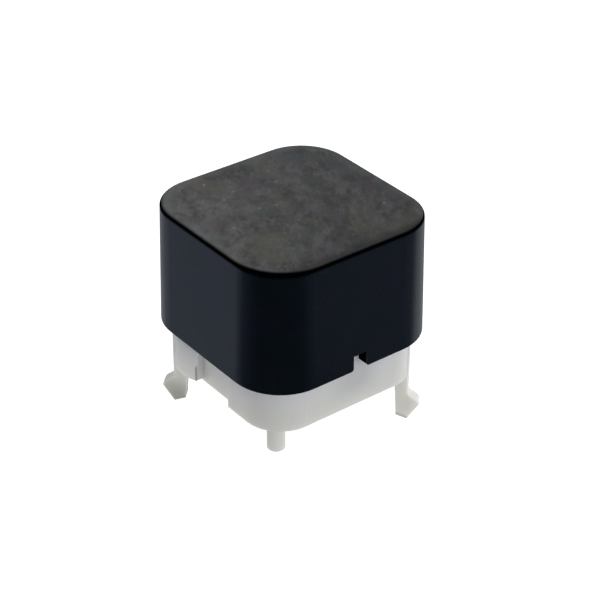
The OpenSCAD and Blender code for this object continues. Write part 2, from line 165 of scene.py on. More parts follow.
class Graph:
    """A node tree that is filled through one method."""

    def __init__(self, tree: bpy.types.NodeTree) -> None:
        """Empties the tree and keeps it."""
        self.tree = tree
        tree.nodes.clear()

    def node(
        self,
        kind: str,
        settings: Settings | None = None,
        inputs: Inputs | None = None,
        out: str | int = 0,
    ) -> Wire:
        """Adds a node.

        Args:
            kind: The node's type.
            settings: Its settings, which are set first.
            inputs: Values or wires for its sockets, by name or number.
            out: The output socket that is returned.

        Returns:
            The chosen output.
        """
        made = self.tree.nodes.new(kind)
        for name, value in (settings or {}).items():
            setattr(made, name, value)
        for key, value in (inputs or {}).items():
            if isinstance(value, Wire):
                self.tree.links.new(value.socket, made.inputs[key])
            else:
                made.inputs[key].default_value = value
        return Wire(self, made.outputs[out] if len(made.outputs) else None)

    def vector(self, operation: str, inputs: Inputs, out: str | int = 0) -> Wire:
        """The chosen output of a Vector Math node."""
        return self.node("ShaderNodeVectorMath", {"operation": operation}, inputs, out)

    def place(self) -> Wire:
        """Object coordinates, which equal the row frame on every piece, in metres."""
        return self.node("ShaderNodeTexCoord", out="Object")

    def part(self, vector: Wire, axis: Axis) -> Wire:
        """The part of a vector along an axis."""
        return self.node("ShaderNodeSeparateXYZ", inputs={0: vector}, out=axis.value)

    def along(self, axis: Axis) -> Wire:
        """One of the Object coordinates, in millimetres. Z is the height over the board."""
        return self.part(self.place(), axis) * PER_M

    def noise(self, pattern: Pattern) -> Wire:
        """Adds a noise.

        Args:
            pattern: Its pattern.

        Returns:
            Values from 0 to 1, mostly near the middle.
        """
        spot = self.node(
            "ShaderNodeMapping",
            {"vector_type": "TEXTURE"},
            {
                "Vector": self.place(),
                "Rotation": (0.0, 0.0, math.radians(pattern.turn)),
                "Scale": pattern.stretch,
            },
        )
        return self.node(
            "ShaderNodeTexNoise",
            {"noise_dimensions": "3D"},
            {
                "Vector": spot,
                "Scale": pattern.per_mm * PER_M,
                "Detail": pattern.detail,
                "Roughness": pattern.rough,
            },
        )

    def step(self, value: Wire, ramp: Pair, levels: Pair = (0.0, 1.0)) -> Wire:
        """Adds a smooth change between two levels.

        Args:
            value: What is measured.
            ramp: The values at which the change starts and ends.
            levels: The results before and after the change.

        Returns:
            The level that belongs to the value.
        """
        return self.node(
            "ShaderNodeMapRange",
            {"interpolation_type": "SMOOTHSTEP"},
            {
                "Value": value,
                "From Min": ramp[0],
                "From Max": ramp[1],
                "To Min": levels[0],
                "To Max": levels[1],
            },
        )

    def band(self, value: Wire, rise: Pair, fall: Pair) -> Wire:
        """One between a rise and a fall over the value, and zero outside them."""
        return self.step(value, rise) * self.step(value, fall)

    def blend(self, factor: Any, first: Any, second: Any) -> Wire:
        """Mixes two colours.

        Args:
            factor: The share of the second one.
            first: A colour or a wire.
            second: A colour or a wire.

        Returns:
            The mixed colour.
        """
        inputs: Inputs = {0: factor}
        for socket, colour in zip(MIX_COLOURS, (first, second)):
            inputs[socket] = colour if isinstance(colour, Wire) else (*colour, 1.0)
        return self.node("ShaderNodeMix", {"data_type": "RGBA"}, inputs, MIX_RESULT)

    def bump(self, height: Wire, depth_mm: float, strength: float) -> Wire:
        """A normal from a height pattern of the given depth."""
        sockets = {"Height": height, "Distance": depth_mm * MM, "Strength": strength}
        return self.node("ShaderNodeBump", inputs=sockets)

    def shader(self, inputs: Inputs) -> Wire:
        """The Principled surface shader, with its sockets filled."""
        return self.node("ShaderNodeBsdfPrincipled", inputs=inputs)

    def ray(self, kind: Ray) -> Wire:
        """One on a ray of the kind, and zero on the others."""
        return self.node("ShaderNodeLightPath", out=kind.value)

    def seen(self) -> Wire:
        """One where the camera looks, also through what lets light pass."""
        return self.ray(Ray.CAMERA) + self.ray(Ray.TRANSMISSION)


def new_material(name: str) -> tuple[bpy.types.Material, Graph]:
    """Starts a material.

    Args:
        name: Its name.

    Returns:
        The material and its empty graph.
    """
    material = bpy.data.materials.new(name)
    material.use_nodes = True
    return material, Graph(material.node_tree)


@dataclass(frozen=True)
class Finish:
    """What every finish has. A finish draws its own pattern in dress()."""

    slot: Slot

    def dress(self, graph: Graph) -> Inputs:
        """The shader's sockets, by name."""
        raise NotImplementedError

    def surface(self, graph: Graph) -> Wire:
        """The shader, filled from dress()."""
        return graph.shader(self.dress(graph))

    def make(self) -> bpy.types.Material:
        """Builds the material anew for a piece, so that each piece has its own.

        Returns:
            The material, named for its slot.
        """
        material, graph = new_material(self.slot.value)
        graph.node("ShaderNodeOutputMaterial", inputs={"Surface": self.surface(graph)})
        return material


@dataclass(frozen=True)
class Tint:
    """A colour laid over the cap's top face by a noise: its ramp, its share and the colour."""

    ramp: Pair
    share: float
    colour: Colour


@dataclass(frozen=True)
class SparkedCap(Finish):
    """Dark plastic with a finely sparked, dusty top face and satin sides.

    The top face lies at a height of 12.55. Ramps on places and heights are in millimetres.
    """

    # Blotches of the top face, drawn out along the way that the texture runs.
    top_dark: Colour = (0.047, 0.047, 0.048)
    top_light: Colour = (0.103, 0.103, 0.103)
    tone_ramp: Pair = (0.39, 0.61)
    grain: Pattern = Pattern(4.5, 3.0, (1.0, 1.8, 1.0), turn=GRAIN_TURN)
    grain_share: float = 0.26
    mottle: Pattern = Pattern(1.15, 4.0, (1.0, 1.8, 1.0), 0.62, GRAIN_TURN)
    mottle_share: float = 0.54
    cloud: Pattern = Pattern(0.32, 3.0, (1.0, 1.7, 1.0), turn=GRAIN_TURN)
    cloud_share: float = 0.20
    # Painted light: lighter towards the left corner and darker towards the right one.
    painted_light_fall: float = 0.0020

    # Faint tints over the blotches.
    hue: Pattern = Pattern(0.60, 2.5, (1.0, 1.5, 1.0), 0.6, GRAIN_TURN)
    green: Tint = Tint((0.52, 0.66), 0.70, (0.062, 0.073, 0.067))
    violet: Tint = Tint((0.48, 0.34), 0.62, (0.076, 0.066, 0.080))
    warmth: Pattern = Pattern(0.27, 3.0, (1.0, 1.5, 1.0), 0.6, GRAIN_TURN + 50.0)
    yellow: Tint = Tint((0.56, 0.68), 0.55, (0.090, 0.089, 0.072))
    blue: Tint = Tint((0.48, 0.34), 0.75, (0.058, 0.068, 0.076))

    # A painted highlight along the top face's edges, painted shade towards the front edge, and the
    # dust.
    edge_highlight: Colour = (0.130, 0.132, 0.138)
    highlight_centre: float = 3.8
    highlight_ramp: Pair = (2.4, 3.1)
    highlight_swing: float = 0.9
    highlight_share: float = 0.30
    front_shade_ramp: Pair = (-6.0, -6.95)
    front_shade_share: float = 0.62
    speck: Colour = (0.19, 0.19, 0.185)
    dust_per_mm: float = 1.7
    dust_ramp: Pair = (0.26, 0.08)
    dust_chance: Pair = (0.60, 0.80)
    dust_mottle: Pair = (0.50, 0.62)

    # Painted shade: dull black over the rounded edge round the top face, and a painted shadow on
    # the cut faces of the rim's notch.
    painted_shade_black: Colour = (0.0005, 0.0006, 0.0009)
    edge_rough: float = 0.9
    face_ramp: Pair = (12.515, 12.545)
    rim_ramp: Pair = (12.21, 12.45)
    border_centre: float = 3.43
    border_shift: Pair = (-0.30, -0.26)
    border_ramp: Pair = (3.79, 4.15)
    notch_left: Pair = (-0.80, -0.75)
    notch_right: Pair = (0.85, 0.80)
    notch_front: Pair = (-7.46, -7.42)
    notch_back: Pair = (-6.6, -6.7)
    notch_top: Pair = (4.85, 4.75)

    # Sides, gloss and relief.
    side_violet: Colour = (0.0027, 0.0037, 0.0093)
    side_green: Colour = (0.0008, 0.0043, 0.0075)
    side_cloud: Pattern = Pattern(0.45, 3.0)
    side_ramp: Pair = (0.38, 0.62)
    side_rough: float = 0.27
    top_rougher: float = 0.36
    sheen: Pattern = Pattern(0.35, 2.0)
    sheen_swing: float = 0.1
    relief_grain: float = 0.5
    relief_mm: float = 0.05
    relief_strength: float = 0.5
    refraction: float = 1.5

    def _tinted(self, graph: Graph, grain: Wire, mottle: Wire) -> Wire:
        """Blotches and tints of the top face, with painted light that fades from the left corner to
        the right one.

        Args:
            graph: The material's graph.
            grain: The spark texture's fine noise.
            mottle: Its coarser noise.

        Returns:
            The colour.
        """
        blotches = grain * self.grain_share + mottle * self.mottle_share
        blotches = blotches + graph.noise(self.cloud) * self.cloud_share
        # Painted light, fading from the left corner to the right one.
        fall = (graph.along(Axis.Y) - graph.along(Axis.X)) * self.painted_light_fall
        tone = graph.step(blotches + fall, self.tone_ramp)
        tinted = graph.blend(tone, self.top_dark, self.top_light)
        for pattern, tints in (
            (self.hue, (self.green, self.violet)),
            (self.warmth, (self.yellow, self.blue)),
        ):
            noise = graph.noise(pattern)
            for tint in tints:
                share = graph.step(noise, tint.ramp) * tint.share
                tinted = graph.blend(share, tinted, tint.colour)
        return tinted

    def _dust(self, graph: Graph, mottle: Wire) -> Wire:
        """Strength of the dust, a small speck in each cell that is chosen by chance.

        Args:
            graph: The material's graph.
            mottle: The spark texture's coarser noise, on whose peaks the dust lies.

        Returns:
            One in the middle of a speck.
        """
        cells = {"Vector": graph.place(), "Scale": self.dust_per_mm * PER_M}
        speck = graph.node("ShaderNodeTexVoronoi", {"feature": "F1"}, cells)
        chance = graph.node("ShaderNodeTexVoronoi", {"feature": "F1"}, cells, "Color")
        chance = graph.node("ShaderNodeSeparateColor", inputs={0: chance}, out="Red")
        chosen = graph.step(chance, self.dust_chance) * graph.step(mottle, self.dust_mottle)
        return graph.step(speck, self.dust_ramp) * chosen

    def _top(self, graph: Graph, grain: Wire, mottle: Wire) -> Wire:
        """Colour of the top face.

        Args:
            graph: The material's graph.
            grain: The spark texture's fine noise.
            mottle: Its coarser noise.

        Returns:
            The colour with blotches, tints, the painted highlight, the painted front shade and
            dust.
        """
        # Painted highlight: a lighter band along the top face's edges.
        reach = self._reach(graph, self.highlight_centre) + mottle.swing(self.highlight_swing)
        highlight = graph.step(reach, self.highlight_ramp) * self.highlight_share
        edge_highlight = graph.blend(highlight, self._tinted(graph, grain, mottle), self.edge_highlight)
        dusty = graph.blend(self._dust(graph, mottle), edge_highlight, self.speck)
        # Painted shade: the top face darkens towards its front edge.
        front_shade = graph.step(graph.along(Axis.Y), self.front_shade_ramp) * self.front_shade_share
        return graph.blend(front_shade, dusty, self.painted_shade_black)

    def _painted_shade_mask(self, graph: Graph) -> Wire:
        """Where black painted shade lies.

        Args:
            graph: The material's graph.

        Returns:
            One on the rounded edge, whose painted shade reaches a little over two sides of the top
            face, and in the notch's painted shadow.
        """
        height = graph.along(Axis.Z)
        top = graph.step(height, self.face_ramp)
        reach = self._reach(graph, self.border_centre, self.border_shift)
        border = graph.step(reach, self.border_ramp)
        rim = graph.step(height, self.rim_ramp)
        # Black painted shade on the rounded edge, and the notch's painted shadow.
        return border * top + rim * (1.0 - top) + self._notch_shadow(graph)

    def _notch_shadow(self, graph: Graph) -> Wire:
        """Where a painted shadow lies on the cut faces of the rim's notch, behind the front face.

        Args:
            graph: The material's graph.

        Returns:
            One on those faces.
        """
        across = graph.band(graph.along(Axis.X), self.notch_left, self.notch_right)
        behind = graph.band(graph.along(Axis.Y), self.notch_front, self.notch_back)
        # Painted shadow on the notch's cut faces.
        return across * behind * graph.step(graph.along(Axis.Z), self.notch_top)

    @staticmethod
    def _reach(graph: Graph, centre: float, shift: Pair = (0.0, 0.0)) -> Wire:
        """How far a point lies outside a square, in millimetres.

        Args:
            graph: The material's graph.
            centre: Half the square's side, where the corner rounds have their centres.
            shift: A shift of the points along X and Y.

        Returns:
            The distance, rounded round the square's corners.
        """
        scaled = {0: graph.place(), 1: (PER_M, PER_M, 0.0), 2: (*shift, 0.0)}
        size = graph.vector("ABSOLUTE", {0: graph.vector("MULTIPLY_ADD", scaled)})
        over = graph.vector("SUBTRACT", {0: size, 1: (centre, centre, 0.0)})
        outer = graph.vector("MAXIMUM", {0: over, 1: ORIGIN})
        return graph.vector("LENGTH", {0: outer}, "Value")

    def surface(self, graph: Graph) -> Wire:
        """The satin plastic, with black painted shade on its rounded edge and in the notch.

        Args:
            graph: The material's graph.

        Returns:
            The mixed shader.
        """
        black = graph.shader(
            {
                "Base Color": (*self.painted_shade_black, 1.0),
                "Roughness": self.edge_rough,
                "Specular IOR Level": 0.0,
            }
        )
        parts = {0: self._painted_shade_mask(graph), 1: super().surface(graph), 2: black}
        return graph.node("ShaderNodeMixShader", inputs=parts)

    def dress(self, graph: Graph) -> Inputs:
        """Tells the top face from the sides by its height.

        Args:
            graph: The material's graph.

        Returns:
            The shader's sockets, by name.
        """
        top = graph.step(graph.along(Axis.Z), self.face_ramp)
        grain = graph.noise(self.grain)
        mottle = graph.noise(self.mottle)
        sheen = graph.noise(self.sheen).swing(self.sheen_swing)
        tint = graph.step(graph.noise(self.side_cloud), self.side_ramp)
        side = graph.blend(tint, self.side_violet, self.side_green)
        relief = (grain * self.relief_grain + mottle) * top
        return {
            "Base Color": graph.blend(top, side, self._top(graph, grain, mottle)),
            "Roughness": top * self.top_rougher + sheen + self.side_rough,
            "Normal": graph.bump(relief, self.relief_mm, self.relief_strength),
            "IOR": self.refraction,
        }


@dataclass(frozen=True)
class MilkyNylon(Finish):
    """Natural, slightly see-through nylon: cooler near the cap, warmer low down, with painted light
    and shade on the hooks and darker hook ends.

    Ramps on places and heights are in millimetres.
    """

    # Tones of the walls and the hooks. The hooks' lighter tone is painted light, for the light that
    # shines through them.
    cool: Colour = (0.70, 0.715, 0.735)
    warm: Colour = (0.72, 0.72, 0.70)
    pale_flow_and_backlight: Colour = (0.78, 0.775, 0.735)
    cloud: Pattern = Pattern(0.3, 3.0)
    flow: Pattern = Pattern(0.9, 3.0, (1.0, 1.0, 2.5))
    wall_swing: float = 2.0
    wall_ramp: Pair = (0.2, 3.2)
    hook_swing: float = 0.8
    hook_ramp: Pair = (-0.1, -3.6)
    flow_swing: float = 0.3
    flow_share: float = 0.1

    # Painted shade under the cap's notch, standing for the darker inside seen faintly through the
    # front wall.
    shaded: Colour = (0.53, 0.535, 0.545)
    shade_swing: float = 1.0
    shade_left: Pair = (-2.6, 0.1)
    shade_right: Pair = (3.2, 0.8)
    shade_height: Pair = (0.3, 1.9)
    shade_wall: Pair = (-6.3, -6.5)
    shade_share: float = 0.6

    # Painted shade on the left hook's nose.
    left_hook_shade: Colour = (0.40, 0.405, 0.36)
    hook_shade_swing: float = 1.2
    hook_shade_side: Pair = (-9.4, -10.0)
    hook_shade_height: Pair = (-1.1, -3.5)
    hook_shade_share: float = 0.92

    # The hooks' sloping ends made darker, and a painted shadow stripe in the crevice at the free
    # end of the left wall's foot.
    dark_ends_and_shadow: Colour = (0.30, 0.30, 0.28)
    end_slope: float = 0.2475
    end_ramp: Pair = (-0.50, -0.76)
    end_height: Pair = (-2.6, -2.9)
    end_share: float = 0.6
    foot_end: float = 1.76
    stripe_outer: Pair = (-0.03, 0.0)
    stripe_inner: Pair = (0.15, 0.08)
    stripe_wall: Pair = (-6.74, -6.80)
    stripe_height: Pair = (1.60, 1.30)
    stripe_share: float = 0.9

    # Gloss, relief and the light that the plastic lets in.
    rough: float = 0.36
    rough_swing: float = 0.15
    skin: Pattern = Pattern(2.2, 3.0)
    relief_mm: float = 0.02
    relief_strength: float = 0.25
    scatter: float = 0.7
    scatter_reach: Colour = (1.0, 0.95, 0.85)
    scatter_mm: float = 0.8
    refraction: float = 1.5

    def _clean(self, graph: Graph, height: Wire, cloud: Wire, flow: Wire) -> Wire:
        """Colour of the plastic, before the left hook's painted shade, the darker ends and the
        painted shadow stripe.

        Args:
            graph: The material's graph.
            height: The height over the board.
            cloud: A slow noise.
            flow: The plastic's flow pattern.

        Returns:
            The colour, which follows the height, with the hooks painted lighter and painted shade
            under the notch.
        """
        level = graph.step(height + cloud.swing(self.wall_swing), self.wall_ramp)
        walls = graph.blend(level, self.warm, self.cool)
        # Painted light: the hooks below the board are lighter, for light that shines through them.
        backlit = graph.step(height + flow.swing(self.hook_swing), self.hook_ramp)
        hooks = graph.blend(backlit, walls, self.pale_flow_and_backlight)
        clean = graph.blend(flow.swing(self.flow_swing) + self.flow_share, hooks, self.pale_flow_and_backlight)
        # Painted shade under the cap's notch, for the darker inside seen through the wall.
        along = graph.along(Axis.X) + flow.swing(self.shade_swing)
        shade = graph.band(along, self.shade_left, self.shade_right)
        shade = shade * graph.step(height, self.shade_height)
        shade = shade * graph.step(graph.along(Axis.Y), self.shade_wall)
        return graph.blend(shade * self.shade_share, clean, self.shaded)

    def _hook_shade(self, graph: Graph, height: Wire, diagonal: Wire, flow: Wire) -> Wire:
        """How much painted shade lies on the left hook.

        Args:
            graph: The material's graph.
            height: The height over the board.
            diagonal: The place along the line through both hooks.
            flow: The plastic's flow pattern.

        Returns:
            The share of the painted shade's colour.
        """
        # Painted shade on the left hook's nose.
        nose = graph.step(diagonal + flow.swing(self.hook_shade_swing), self.hook_shade_side)
        return nose * graph.step(height, self.hook_shade_height) * self.hook_shade_share

    def _ends_and_stripe(self, graph: Graph, height: Wire, diagonal: Wire) -> Wire:
        """How much darker the hooks' ends are made, and where the painted shadow stripe lies at the
        foot's end.

        Args:
            graph: The material's graph.
            height: The height over the board.
            diagonal: The place along the line through both hooks.

        Returns:
            The share of the darker colour.
        """
        ends = graph.step(height + abs(diagonal) * self.end_slope, self.end_ramp) * self.end_share
        along = graph.along(Axis.Y) - self.foot_end
        # Painted shadow: a dark stripe in the crevice at the foot's free end.
        stripe = graph.band(along, self.stripe_outer, self.stripe_inner)
        stripe = stripe * graph.step(graph.along(Axis.X), self.stripe_wall)
        stripe = stripe * graph.step(height, self.stripe_height) * self.stripe_share
        return ends * graph.step(height, self.end_height) + stripe

    def dress(self, graph: Graph) -> Inputs:
        """Lays the left hook's painted shade, the darker ends and the painted shadow stripe over
        the clean plastic.

        Args:
            graph: The material's graph.

        Returns:
            The shader's sockets, by name.
        """
        height = graph.along(Axis.Z)
        diagonal = graph.along(Axis.X) - graph.along(Axis.Y)
        cloud = graph.noise(self.cloud)
        flow = graph.noise(self.flow)
        clean = self._clean(graph, height, cloud, flow)
        hook_shaded = graph.blend(self._hook_shade(graph, height, diagonal, flow), clean, self.left_hook_shade)
        return {
            "Base Color": graph.blend(self._ends_and_stripe(graph, height, diagonal), hook_shaded, self.dark_ends_and_shadow),
            "Roughness": self.rough + cloud.swing(self.rough_swing),
            "Normal": graph.bump(graph.noise(self.skin), self.relief_mm, self.relief_strength),
            "Subsurface Weight": self.scatter,
            "Subsurface Radius": self.scatter_reach,
            "Subsurface Scale": self.scatter_mm * MM,
            "IOR": self.refraction,
        }


@dataclass(frozen=True)
class NaturalAcetal(Finish):
    """Waxy white acetal of the plunger and the pusher."""

    base: Colour = (0.74, 0.73, 0.69)
    shade: Colour = (0.62, 0.61, 0.57)
    flow: Pattern = Pattern(0.8, 3.0, (1.0, 1.0, 3.3))
    flow_ramp: Pair = (0.4, 0.7)
    rough: float = 0.34
    rough_swing: float = 0.2
    skin: Pattern = Pattern(3.0, 2.0)
    relief_mm: float = 0.01
    relief_strength: float = 0.2
    scatter: float = 0.2
    scatter_mm: float = 0.4

    def dress(self, graph: Graph) -> Inputs:
        """Draws a faint flow pattern along the height.

        Args:
            graph: The material's graph.

        Returns:
            The shader's sockets, by name.
        """
        flow = graph.noise(self.flow)
        return {
            "Base Color": graph.blend(graph.step(flow, self.flow_ramp), self.base, self.shade),
            "Roughness": self.rough + flow.swing(self.rough_swing),
            "Normal": graph.bump(graph.noise(self.skin), self.relief_mm, self.relief_strength),
            "Subsurface Weight": self.scatter,
            "Subsurface Scale": self.scatter_mm * MM,
        }


@dataclass(frozen=True)
class FilledNylon(Finish):
    """Grey nylon with short glass fibres in its skin."""

    base: Colour = (0.20, 0.205, 0.2)
    fibre: Colour = (0.34, 0.34, 0.33)
    fibres: Pattern = Pattern(7.0, 2.0, (4.0, 1.0, 1.0))
    fibre_ramp: Pair = (0.58, 0.68)
    fibre_share: float = 0.5
    cloud: Pattern = Pattern(0.5, 3.0)
    cloud_swing: float = 0.3
    rough: float = 0.55
    rough_swing: float = 0.2
    relief_mm: float = 0.008
    relief_strength: float = 0.4

    def dress(self, graph: Graph) -> Inputs:
        """Draws the fibres as a stretched noise, cut to its peaks.

        Args:
            graph: The material's graph.

        Returns:
            The shader's sockets, by name.
        """
        fibres = graph.step(graph.noise(self.fibres), self.fibre_ramp)
        cloud = graph.noise(self.cloud)
        pale = fibres * self.fibre_share + cloud.swing(self.cloud_swing)
        return {
            "Base Color": graph.blend(pale, self.base, self.fibre),
            "Roughness": self.rough + cloud.swing(self.rough_swing),
            "Normal": graph.bump(fibres, self.relief_mm, self.relief_strength),
        }


@dataclass(frozen=True)
class WornMetal(Finish):
    """Sheet or wire metal with fine lines from drawing or rolling and slight dulling."""

    base: Colour
    dull: Colour
    stretch: Point
    rough: float
    lines_per_mm: float = 9.0
    lines_detail: float = 2.0
    lines_swing: float = 0.25
    cloud: Pattern = Pattern(0.9)
    cloud_swing: float = 0.15
    dull_ramp: Pair = (0.45, 0.75)
    relief_mm: float = 0.004
    relief_strength: float = 0.3

    def dress(self, graph: Graph) -> Inputs:
        """Draws the lines as a noise that is stretched along the drawing.

        Args:
            graph: The material's graph.

        Returns:
            The shader's sockets, by name.
        """
        lines = graph.noise(Pattern(self.lines_per_mm, self.lines_detail, self.stretch))
        cloud = graph.noise(self.cloud)
        rough = self.rough + lines.swing(self.lines_swing) + cloud.swing(self.cloud_swing)
        return {
            "Base Color": graph.blend(graph.step(cloud, self.dull_ramp), self.base, self.dull),
            "Metallic": 1.0,
            "Roughness": rough,
            "Normal": graph.bump(lines, self.relief_mm, self.relief_strength),
        }


def place_mesh(
    name: str, bm: bmesh.types.BMesh, material: bpy.types.Material
) -> bpy.types.Object:
    """Puts a finished mesh into the scene.

    Args:
        name: The object's name, and its mesh's.
        bm: The mesh, in metres and in place. It is freed.
        material: What it is made of.

    Returns:
        The object, at the origin.
    """
    mesh = bpy.data.meshes.new(name)
    bm.to_mesh(mesh)
    bm.free()
    mesh.materials.append(material)
    made = bpy.data.objects.new(name, mesh)
    bpy.context.scene.collection.objects.link(made)
    return made


class Piece:
    """Makes the switch's pieces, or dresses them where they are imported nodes."""

    @staticmethod
    def add(name: str, bm: bmesh.types.BMesh, finish: Finish, body: Body) -> bpy.types.Object:
        """Makes a smoothly shaded piece that rides on a body.

        Args:
            name: The piece's name.
            bm: Its mesh, in metres and in place. It is freed.
            finish: What it is made of.
            body: The body that it rides on.

        Returns:
            The object, at the origin.
        """
        made = place_mesh(name, bm, finish.make())
        for face in made.data.polygons:
            face.use_smooth = True
        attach(made, body.value)
        LOG.info("piece %s: %d faces", name, len(made.data.polygons))
        return made

    @staticmethod
    def dress(node: str, finish: Finish) -> None:
        """Gives a CAD node its finish. Its mesh is left alone.

        Args:
            node: The node's name.
            finish: What it is made of.
        """
        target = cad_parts[node]
        target.data.materials.clear()
        target.data.materials.append(finish.make())
        LOG.info("node %s wears %s", node, finish.slot.value)


@dataclass
class CapAndPlunger:
    """The key cap and the plunger that carries it."""

    cap: SparkedCap = field(default_factory=lambda: SparkedCap(Slot.CAP))
    slider: NaturalAcetal = field(default_factory=lambda: NaturalAcetal(Slot.SLIDER))

    def build(self) -> None:
        """Dresses both nodes and the pusher, which is the plunger's plastic."""
        Piece.dress("keycap", self.cap)
        Piece.dress("plunger", self.slider)
        Piece.dress("pusher", self.slider)


@dataclass
class HousingAndContacts:
    """The snap-in housing, the contact base in it and the two contacts."""

    housing: MilkyNylon = field(default_factory=lambda: MilkyNylon(Slot.HOUSING))
    base: FilledNylon = field(default_factory=lambda: FilledNylon(Slot.BASE))
    contact: WornMetal = field(
        default_factory=lambda: WornMetal(
            Slot.CONTACT,
            base=(0.80, 0.77, 0.70),
            dull=(0.60, 0.56, 0.48),
            stretch=(1.0, 1.0, 8.0),
            rough=0.3,
        )
    )

    def build(self) -> None:
        """Dresses the four nodes."""
        Piece.dress("housing", self.housing)
        Piece.dress("contact_base", self.base)
        Piece.dress("centre_contact", self.contact)
        Piece.dress("outer_contact", self.contact)


@dataclass
class WoundSpring:
    """The coil spring between plunger and pusher, wound with a closed turn at each end."""

    mean_d_mm: float = 2.7
    wire_d_mm: float = 0.3
    bottom_mm: float = 2.78
    top_mm: float = 7.9
    open_turns: int = 6
    closed_rise_mm: float = 0.315
    rings: int = 40
    sides: int = 12
    merge_mm: float = 0.0001
    pressed_share: float = 0.7656
    finish: WornMetal = field(
        default_factory=lambda: WornMetal(
            Slot.SPRING,
            base=(0.66, 0.67, 0.69),
            dull=(0.44, 0.43, 0.42),
            stretch=(1.0, 1.0, 1.0),
            rough=0.24,
        )
    )

    def _wind(
        self, bm: bmesh.types.BMesh, ring: list[Any], turns: int, rise_mm: float
    ) -> list[Any]:
        """Spins a ring of the wire on by whole turns.

        Args:
            bm: The mesh.
            ring: The open ring's edges and vertices.
            turns: Turns to add.
            rise_mm: Rise of one turn.

        Returns:
            The last ring's edges and vertices.
        """
        made = bmesh.ops.spin(
            bm,
            geom=ring,
            cent=ORIGIN,
            axis=UPRIGHT,
            dvec=(0.0, 0.0, rise_mm * MM / self.rings),
            angle=math.tau * turns,
            steps=self.rings * turns,
        )
        return made["geom_last"]

    def _mesh(self) -> bmesh.types.BMesh:
        """Winds the wire.

        Returns:
            A closed tube.
        """
        bm = bmesh.new()
        made = bmesh.ops.create_circle(bm, segments=self.sides, radius=self.wire_d_mm / 2 * MM)
        circle = made["verts"]
        bmesh.ops.rotate(bm, verts=circle, matrix=Matrix.Rotation(math.pi / 2, 3, "X"))
        start = Vector((self.mean_d_mm / 2, 0.0, self.bottom_mm + self.wire_d_mm / 2)) * MM
        bmesh.ops.translate(bm, verts=circle, vec=start)
        first_edges = list(bm.edges)
        ring = first_edges + list(bm.verts)
        length = self.top_mm - self.bottom_mm - self.wire_d_mm
        open_rise_mm = (length - 2 * self.closed_rise_mm) / self.open_turns
        for turns, rise_mm in (
            (1, self.closed_rise_mm),
            (self.open_turns, open_rise_mm),
            (1, self.closed_rise_mm),
        ):
            ring = self._wind(bm, ring, turns, rise_mm)
        last_edges = [part for part in ring if isinstance(part, bmesh.types.BMEdge)]
        for edges in (first_edges, last_edges):
            bmesh.ops.edgeloop_fill(bm, edges=edges)
        bmesh.ops.remove_doubles(bm, verts=bm.verts, dist=self.merge_mm * MM)
        bmesh.ops.recalc_face_normals(bm, faces=bm.faces)
        return bm

    def build(self) -> None:
        """Winds the spring, puts it on the pusher's body and hides the plain node."""
        spring = Piece.add("wound_spring", self._mesh(), self.finish, Body.PUSHER)
        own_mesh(spring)
        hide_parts("actuating_spring")


@dataclass
class SnapDome:
    """The thin steel dome, trimmed on four sides, that gives the click."""

    diameter_mm: float = 5.0
    rise_mm: float = 0.3
    sheet_mm: float = 0.08
    flats_mm: float = 4.3
    flats: int = 4
    flat_turn: float = 45.0
    floor_mm: float = 1.5
    rings: int = 14
    steps: int = 96
    merge_mm: float = 0.002
    pressed_share: float = 0.184
    finish: WornMetal = field(
        default_factory=lambda: WornMetal(
            Slot.DOME,
            base=(0.76, 0.76, 0.75),
            dull=(0.6, 0.59, 0.57),
            stretch=(10.0, 1.0, 1.0),
            rough=0.2,
        )
    )

    def _bowl(self) -> bmesh.types.BMesh:
        """Spins an arc to a shallow round bowl.

        Returns:
            The bowl's upper face, as a thin skin.
        """
        half = self.diameter_mm / 2
        radius = (half * half + self.rise_mm * self.rise_mm) / (2 * self.rise_mm)
        crown = Vector((0.0, 0.0, self.floor_mm + self.rise_mm)) * MM
        bm = bmesh.new()
        bmesh.ops.spin(
            bm,
            geom=[bm.verts.new(crown)],
            cent=crown - Vector((0.0, 0.0, radius * MM)),
            axis=(0.0, 1.0, 0.0),
            angle=math.asin(half / (radius + self.sheet_mm)),
            steps=self.rings,
        )
        bmesh.ops.spin(
            bm,
            geom=list(bm.verts) + list(bm.edges),
            cent=ORIGIN,
            axis=UPRIGHT,
            angle=math.tau,
            steps=self.steps,
            use_merge=True,
        )
        bmesh.ops.remove_doubles(bm, verts=bm.verts, dist=self.merge_mm * MM)
        return bm

    def _mesh(self) -> bmesh.types.BMesh:
        """Trims the bowl to four feet and gives it its thickness.

        Returns:
            The closed dome.
        """
        bm = self._bowl()
        for flat in range(self.flats):
            side = math.radians(self.flat_turn + 360.0 / self.flats * flat)
            away = Vector((math.cos(side), math.sin(side), 0.0))
            bmesh.ops.bisect_plane(
                bm,
                geom=list(bm.verts) + list(bm.edges) + list(bm.faces),
                plane_co=away * self.flats_mm / 2 * MM,
                plane_no=away,
                clear_outer=True,
            )
        bmesh.ops.recalc_face_normals(bm, faces=bm.faces)
        bmesh.ops.solidify(bm, geom=list(bm.faces), thickness=-self.sheet_mm * MM)
        bmesh.ops.recalc_face_normals(bm, faces=bm.faces)
        return bm

    def build(self) -> None:
        """Makes the dome, puts it on the base's body and hides the plain node."""
        dome = Piece.add("sprung_dome", self._mesh(), self.finish, Body.BASE)
        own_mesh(dome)
        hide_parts("snap_dome")


@dataclass(frozen=True)
class Card:
    """A glowing card beside the object that only its gloss sees."""

    name: str
    centre_mm: Point
    size_mm: Pair
    towards_mm: Point
    glow: Colour


@dataclass(frozen=True)
class Lamp:
    """A square area lamp."""

    name: str
    place_mm: Point
    size_mm: float
    watts: float


